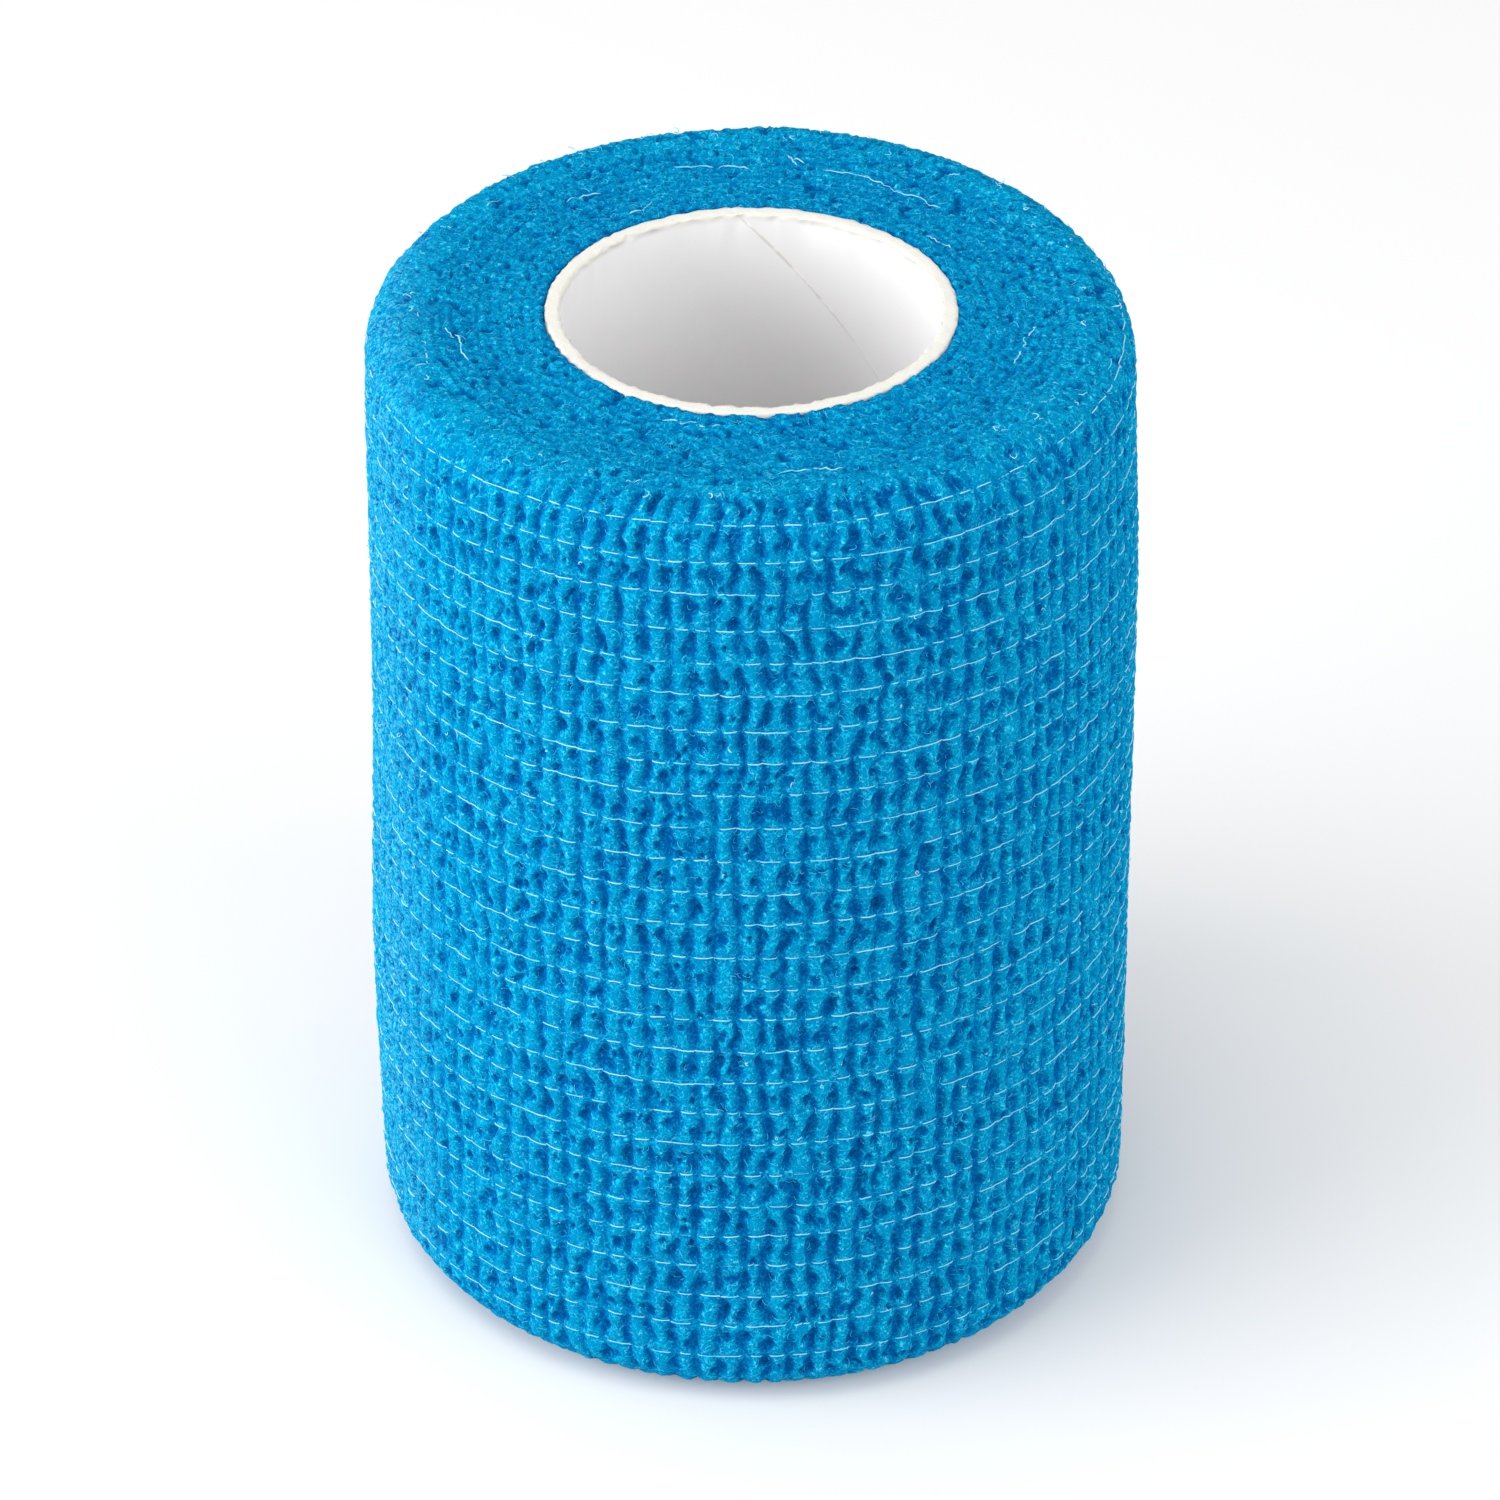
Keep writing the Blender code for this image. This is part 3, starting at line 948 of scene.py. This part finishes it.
class BANDAGE_OT_threads(bpy.types.Operator):
    """Lays the elastic threads round the roll, one dash over each rib, its ends tucked in the furrows"""

    bl_idname = "bandage.threads"
    bl_label = "Elastic threads"
    bl_options = {"REGISTER", "UNDO"}

    DASH = np.array((0.01, 0.14, 0.27, 0.50, 0.73, 0.86, 0.99))  # shares of a rib's width
    BRIDGED = 0.22  # share of the furrows that a thread runs straight across
    HIDDEN = 0.08  # share of the dashes that lie under the fibres
    MATTED = 0.40  # more of them that do so on the far left

    def execute(self, context):
        roll = Roll()
        rng = np.random.default_rng(roll.shape.seed + 2)
        paths = []
        for line in roll.lines:
            wobble = lattice(rng, 1, roll.count // 4 + 2)
            bridged = rng.random(roll.count + 1) < self.BRIDGED
            buried = np.where(bridged, rng.uniform(-0.1, 0.35, len(bridged)), 1.0)
            paths += [self.dash(roll, rng, line, rib, wobble, buried) for rib in range(roll.count)]
        thread_piece("elastic_threads", paths, roll.threads.radius, 4)
        return {"FINISHED"}

    def dash(self, roll, rng, line, rib, wobble, buried):
        """The thread over one rib, which dives at each end as deep as that furrow buries it."""
        share = self.DASH
        drift = along(wobble, 0, np.array([rib / 4])) * 0.10 * MM
        tilt = rng.uniform(-0.10, 0.10) * MM
        s = line + drift + tilt * (share - 0.5) + rng.uniform(-0.03, 0.03) * MM
        first = np.clip(1 - share / 0.25, 0, 1) ** 0.7 * buried[rib]
        last = np.clip(1 - (1 - share) / 0.25, 0, 1) ** 0.7 * buried[rib + 1]
        matted = smooth_step(sin(rib / roll.count * tau), 0.88, 1.0)
        hidden = rng.random() < self.HIDDEN + self.MATTED * matted
        sunk = roll.threads.radius * (-0.9 if hidden else 0.65)
        lift = sunk - roll.threads.dip * (first + last)
        points, _ = roll.outer(np.full(len(share), rib), share, s, lift)
        return points, list(rng.uniform(0.75, 1.15) * (1 - 0.55 * (first + last)))


class BANDAGE_OT_loose_threads(bpy.types.Operator):
    """Lays the loose ends of thread on the top face, at the rib ends, on the ribs and at the cut end"""

    bl_idname = "bandage.loose_threads"
    bl_label = "Loose thread ends"
    bl_options = {"REGISTER", "UNDO"}

    EDGE_HOOKS = 80
    HOOK_POINTS = 7
    KNOTS = 240
    KNOT_POINTS = 6
    LEFT_KNOTS = 0.6  # share of the knots that lie on the left
    LEFT_RIBS = (14, 36)
    LYING_POINTS = 13
    CUT_POINTS = 8

    def execute(self, context):
        roll = Roll()
        self.rng = np.random.default_rng(roll.shape.seed + 3)
        paths = [self.lying(roll, *line) for line in LOOSE_THREADS]
        paths += [self.hook(roll) for _ in range(self.EDGE_HOOKS)]
        paths += [self.knot(roll) for _ in range(self.KNOTS)]
        paths += [self.cut_thread(roll, line) for line in roll.lines]
        thread_piece("loose_threads", paths, roll.threads.radius, 5)
        return {"FINISHED"}

    def swing(self, most, points):
        """Directions of the steps along a path that curls, mostly one way."""
        return self.rng.uniform(0, tau) + np.cumsum(self.rng.uniform(-0.2, most, points))

    def tapered(self, least, most, points):
        """Radius shares of a path that is thin at both ends."""
        return list(self.rng.uniform(least, most) * (1 - 0.6 * np.abs(np.linspace(-1, 1, points))))

    def lying(self, roll, radius, degrees, end_radius, end_degrees):
        """A length of thread on the top face, part of it sunk in the felt."""
        share = np.linspace(0, 1, self.LYING_POINTS)
        waves = lattice(self.rng, 3, 8)
        radius = (radius * (1 - share) + end_radius * share) * MM + 0.16 * MM * along(waves, 0, share * 5)
        radius = radius + 0.05 * MM * self.rng.uniform(-1, 1, len(share))
        angle = np.radians(degrees * (1 - share) + end_degrees * share)
        felt = roll.felted(radius * np.cos(angle), radius * np.sin(angle))
        level = ROLL_HEIGHT + felt * 0.5 - roll.shape.end_dish * 0.5
        z = level + 0.05 * MM + 0.10 * MM * along(waves, 1, share * 6)
        thick = 0.85 + 0.5 * along(waves, 2, share * 6)
        ends = np.minimum(1, 8 * share * (1 - share) + 0.25)
        return upright(radius, angle, z), list(np.clip(thick, 0.35, 1.3) * ends)

    def hook(self, roll):
        """A curled end of thread or fibre at the end of a rib on the top edge."""
        draw = self.rng.uniform
        rib = self.rng.integers(1, roll.count - 1)
        size = draw(0.18, 0.5) * MM
        start = roll.top - draw(-0.1, 2.2) * MM
        swing = self.swing(1.2, self.HOOK_POINTS)
        base, _ = roll.outer(np.array([rib]), np.array([draw(0.2, 0.8)]), np.array([start]))
        steps = np.stack([np.cos(swing), np.sin(swing), draw(-0.4, 0.7, len(swing))], axis=-1)
        points = base[0] + np.cumsum(steps, axis=0) * size / 3 + np.array([0.0, 0.0, 0.03 * MM])
        return points, self.tapered(0.5, 1.2, len(swing))

    def knot(self, roll):
        """A short white fleck of thread caught on a rib."""
        draw = self.rng.uniform
        ribs = (1, roll.count - 1) if self.rng.random() > self.LEFT_KNOTS else self.LEFT_RIBS
        rib = np.full(self.KNOT_POINTS, self.rng.integers(*ribs))
        swing = self.swing(1.5, self.KNOT_POINTS)
        step = draw(0.05, 0.13)
        s = roll.low + draw(0.0, 1.0) * (roll.high - roll.low)
        s = s + np.cumsum(np.sin(swing)) * step * MM
        across = draw(0.3, 0.7) + np.cumsum(np.cos(swing)) * step * 0.6
        points, _ = roll.outer(rib, np.clip(across, 0, 1), s, 0.06 * MM)
        return points, self.tapered(0.7, 1.2, self.KNOT_POINTS)

    def cut_thread(self, roll, line):
        """The end of one elastic thread, sprung out of the cut end of the cloth."""
        share = np.linspace(0, 1, self.CUT_POINTS)[:, None]
        reach = self.rng.uniform(0.6, 2.2) * MM
        curl = self.rng.uniform(-0.8, 0.8) * MM
        start, _ = roll.outer(np.array([roll.count - 1]), np.array([0.9]), np.array([line]))
        outward = start[0] * np.array([1.0, 1.0, 0.0]) / np.linalg.norm(start[0, :2])
        lift = np.array([0.0, 0.0, 1.0])
        droop = -0.55 * MM * smooth_step(share, 0.3, 1.0)
        points = start[0] + np.cross(lift, outward) * (share * reach)
        return points + outward * (0.06 * MM + droop * 0.6) + lift * (curl * share**2), [0.9] * len(share)


class BANDAGE_OT_lint(bpy.types.Operator):
    """Scatters the loose fibres of the nonwoven over the cloth"""

    bl_idname = "bandage.lint"
    bl_label = "Lint"
    bl_options = {"REGISTER", "UNDO"}

    def execute(self, context):
        roll = Roll()
        names = [f"outer_turn_{index + 1}" for index in range(WALL_PIECES)] + ["top_face"]
        meshes = [bpy.data.objects[name].data for name in names]
        area = sum(face.area for mesh in meshes for face in mesh.polygons)
        values = {
            "Density": roll.threads.lint / area,
            "Length": roll.threads.lint_length,
            "Radius": roll.threads.lint_radius,
            "Seed": roll.shape.seed,
            "Material": found("lint", lint_paint),
        }
        mesh = grown("lint_fibres", self.joined(meshes), lint_tree(), **values)
        make_piece(mesh, values["Material"], "cloth")
        return {"FINISHED"}

    def joined(self, meshes):
        """One mesh of the cloth, for the fibres to stand on."""
        points, faces, total = [], [], 0
        for mesh in meshes:
            co = np.empty(len(mesh.vertices) * 3)
            mesh.vertices.foreach_get("co", co)
            corners = np.empty(len(mesh.loops), int)
            mesh.loops.foreach_get("vertex_index", corners)
            points.append(co.reshape(-1, 3))
            faces.append(corners.reshape(-1, 4) + total)
            total += len(mesh.vertices)
        return make_mesh("lint_ground", np.concatenate(points), np.concatenate(faces))


class BANDAGE_OT_paper_tube(bpy.types.Operator):
    """Makes the paperboard tube, with its torn rims and its lined bore"""

    bl_idname = "bandage.paper_tube"
    bl_label = "Paperboard tube"
    bl_options = {"REGISTER", "UNDO"}

    COLUMNS = 360
    WALL = 1.1  # thickness of the tube, in mm
    BORE_STEPS = 14
    TEAR = 0.075 * MM  # how far the rims are torn aside, where their roughness is 1
    TEAR_UP = 0.06 * MM  # and how far up or down

    # The top rim: outset and height over its plane in mm, share of rim and roughness.
    RIM = (
        (0.0, -3.0, 1.0, 0.0),
        (0.0, -0.35, 1.0, 0.4),
        (-0.02, -0.12, 1.0, 1.0),
        (-0.10, 0.0, 1.0, 1.0),
        (-0.35, 0.02, 1.0, 0.5),
        (-0.60, 0.02, 1.0, 0.5),
        (0.28 - WALL, 0.02, 1.0, 0.7),
        (0.08 - WALL, 0.0, 1.0, 1.6),
        (-0.01 - WALL, -0.10, 1.0, 1.8),
        (-WALL, -0.28, 0.5, 1.0),
        (-WALL, -0.60, 0.0, 0.1),
    )

    def execute(self, context):
        rng = np.random.default_rng(bpy.context.scene.roll_shape.seed + 4)
        profile = self.profile()
        rows = len(profile)
        coarse = lattice(rng, 31, 29)
        fine = lattice(rng, 180, 31)
        tears = lattice(rng, 120, 31)
        column, row = np.meshgrid(np.arange(self.COLUMNS), np.arange(rows), indexing="ij")
        outset, z, rim, rough = np.moveaxis(profile[row], -1, 0)
        around = column / self.COLUMNS
        torn = lumps(fine, around * len(fine), row * 2.7)
        torn = torn + np.clip(lumps(tears, around * len(tears), row * 0.3) - 0.45, 0, 1) * 2.5
        outset = outset + 0.02 * MM * lumps(coarse, around * len(coarse), row * 0.4)
        outset = outset - np.sign(outset + self.WALL * MM / 2) * rough * self.TEAR * torn
        z = z + rough * self.TEAR_UP * lumps(fine, around * len(fine) + 40, row * 1.9)
        points = upright(tube_radius(around * tau, outset), around * tau, np.clip(z, 0.0, None))
        after, above = (column + 1) % self.COLUMNS, (row + 1) % rows
        corners = [(column, row), (after, row), (after, above), (column, above)]
        faces = np.stack([(c * rows + r).ravel() for c, r in corners], axis=1)
        mesh = make_mesh("paper_tube", points, faces, rim)
        make_piece(mesh, found("tube_board", board_paint), "paperboard", "core_tube")
        return {"FINISHED"}

    def profile(self):
        """The closed section, up the outside and down the bore: outset, height, share of rim, roughness."""
        top = CORE_HIGH[2]
        inner = -self.WALL * MM
        upper = [(outset * MM, top + z * MM, rim, rough) for outset, z, rim, rough in self.RIM]
        depths = np.linspace(top + self.RIM[-1][1] * MM, top / 2, self.BORE_STEPS)[1:-1]
        upper += [(inner, depth, 0.0, 0.05) for depth in depths]
        lower = [(outset, top - z, rim, rough) for outset, z, rim, rough in upper[::-1]]
        return np.array(upper + [(inner, top / 2, 0.0, 0.05)] + lower)


class BANDAGE_OT_stage(bpy.types.Operator):
    """Sets the pale floor, the soft lights and the camera"""

    bl_idname = "bandage.stage"
    bl_label = "Stage"
    bl_options = {"REGISTER", "UNDO"}

    FLOOR_HALF = 1.5
    FLOOR_DROP = 0.05 * MM  # by which the floor lies under the roll

    def execute(self, context):
        scene = context.scene
        look = scene.roll_stage
        self.floor()
        scene.world = self.sky(look.sky)
        self.lamp("key", (-0.14, -0.06, 0.62), 0.45, look.key)
        self.lamp("side", (-0.46, -0.16, 0.17), 0.50, look.side)
        self.lamp("fill", (0.50, -0.42, 0.30), 0.70, look.fill)
        scene.camera = self.camera(look)
        scene.view_settings.view_transform = "Standard"
        return {"FINISHED"}

    def floor(self):
        half = self.FLOOR_HALF
        corners = [(x * half, y * half, -self.FLOOR_DROP) for x, y in ((-1, -1), (1, -1), (1, 1), (-1, 1))]
        mesh = bpy.data.meshes.new("floor")
        mesh.from_pydata(corners, [], [(0, 1, 2, 3)])
        paint = Paint("floor", Roughness=0.9, Specular_IOR_Level=0.1, Emission_Strength=0.1)
        mesh.materials.append(paint.shine(Base_Color=(0.72, 0.72, 0.72)))
        linked("floor", mesh)

    def sky(self, strength):
        world = bpy.data.worlds.new("surroundings")
        world.use_nodes = True
        background = world.node_tree.nodes["Background"]
        background.inputs["Color"].default_value = (1.0, 1.0, 1.0, 1.0)
        background.inputs["Strength"].default_value = strength
        return world

    def lamp(self, name, place, size, power):
        data = bpy.data.lights.new(name, "AREA")
        data.shape = "DISK"
        data.size = size
        data.energy = power
        lamp = linked(name, data)
        lamp.location = place
        aim = Vector((0, 0, ROLL_HEIGHT / 2)) - lamp.location
        lamp.rotation_euler = aim.to_track_quat("-Z", "Y").to_euler()

    def camera(self, look):
        data = bpy.data.cameras.new("camera")
        data.sensor_width = 36.0
        data.lens = look.lens
        data.clip_start = 0.01
        camera = linked("camera", data)
        back = Vector((0, -cos(look.elevation), sin(look.elevation)))
        camera.location = Vector((look.aim_x, 0, look.aim_z)) + back * look.distance
        camera.rotation_euler = (-back).to_track_quat("-Z", "Y").to_euler()
        return camera


class BANDAGE_PT_sidebar(bpy.types.Panel):
    """Lists the steps and the sizes that go with them"""

    bl_label = "Bandage roll"
    bl_idname = "BANDAGE_PT_sidebar"
    bl_space_type = "VIEW_3D"
    bl_region_type = "UI"
    bl_category = "Bandage"

    def draw(self, context):
        for maker in MAKERS:
            self.layout.operator(maker.bl_idname)
        for group in GROUPS:
            box = self.layout.box()
            values = getattr(context.scene, group)
            for name in values.bl_rna.properties.keys():
                if name not in ("rna_type", "name"):
                    box.prop(values, name)


MAKERS = (
    BANDAGE_OT_stage,
    BANDAGE_OT_outer_turn,
    BANDAGE_OT_end_faces,
    BANDAGE_OT_threads,
    BANDAGE_OT_loose_threads,
    BANDAGE_OT_lint,
    BANDAGE_OT_paper_tube,
)
GROUPS = {
    "roll_shape": RollShape,
    "roll_threads": ThreadShape,
    "roll_colours": RollColours,
    "roll_stage": StageLook,
}
CLASSES = (*GROUPS.values(), *MAKERS, BANDAGE_PT_sidebar)


def register():
    for kind in CLASSES:
        bpy.utils.register_class(kind)
    for name, group in GROUPS.items():
        setattr(bpy.types.Scene, name, PointerProperty(type=group))


def unregister():
    for name in GROUPS:
        delattr(bpy.types.Scene, name)
    for kind in reversed(CLASSES):
        bpy.utils.unregister_class(kind)


def main():
    register()
    bpy.ops.bandage.stage()
    bpy.ops.bandage.outer_turn()
    bpy.ops.bandage.end_faces()
    bpy.ops.bandage.threads()
    bpy.ops.bandage.loose_threads()
    bpy.ops.bandage.lint()
    bpy.ops.bandage.paper_tube()


if __name__ == "__main__":
    main()
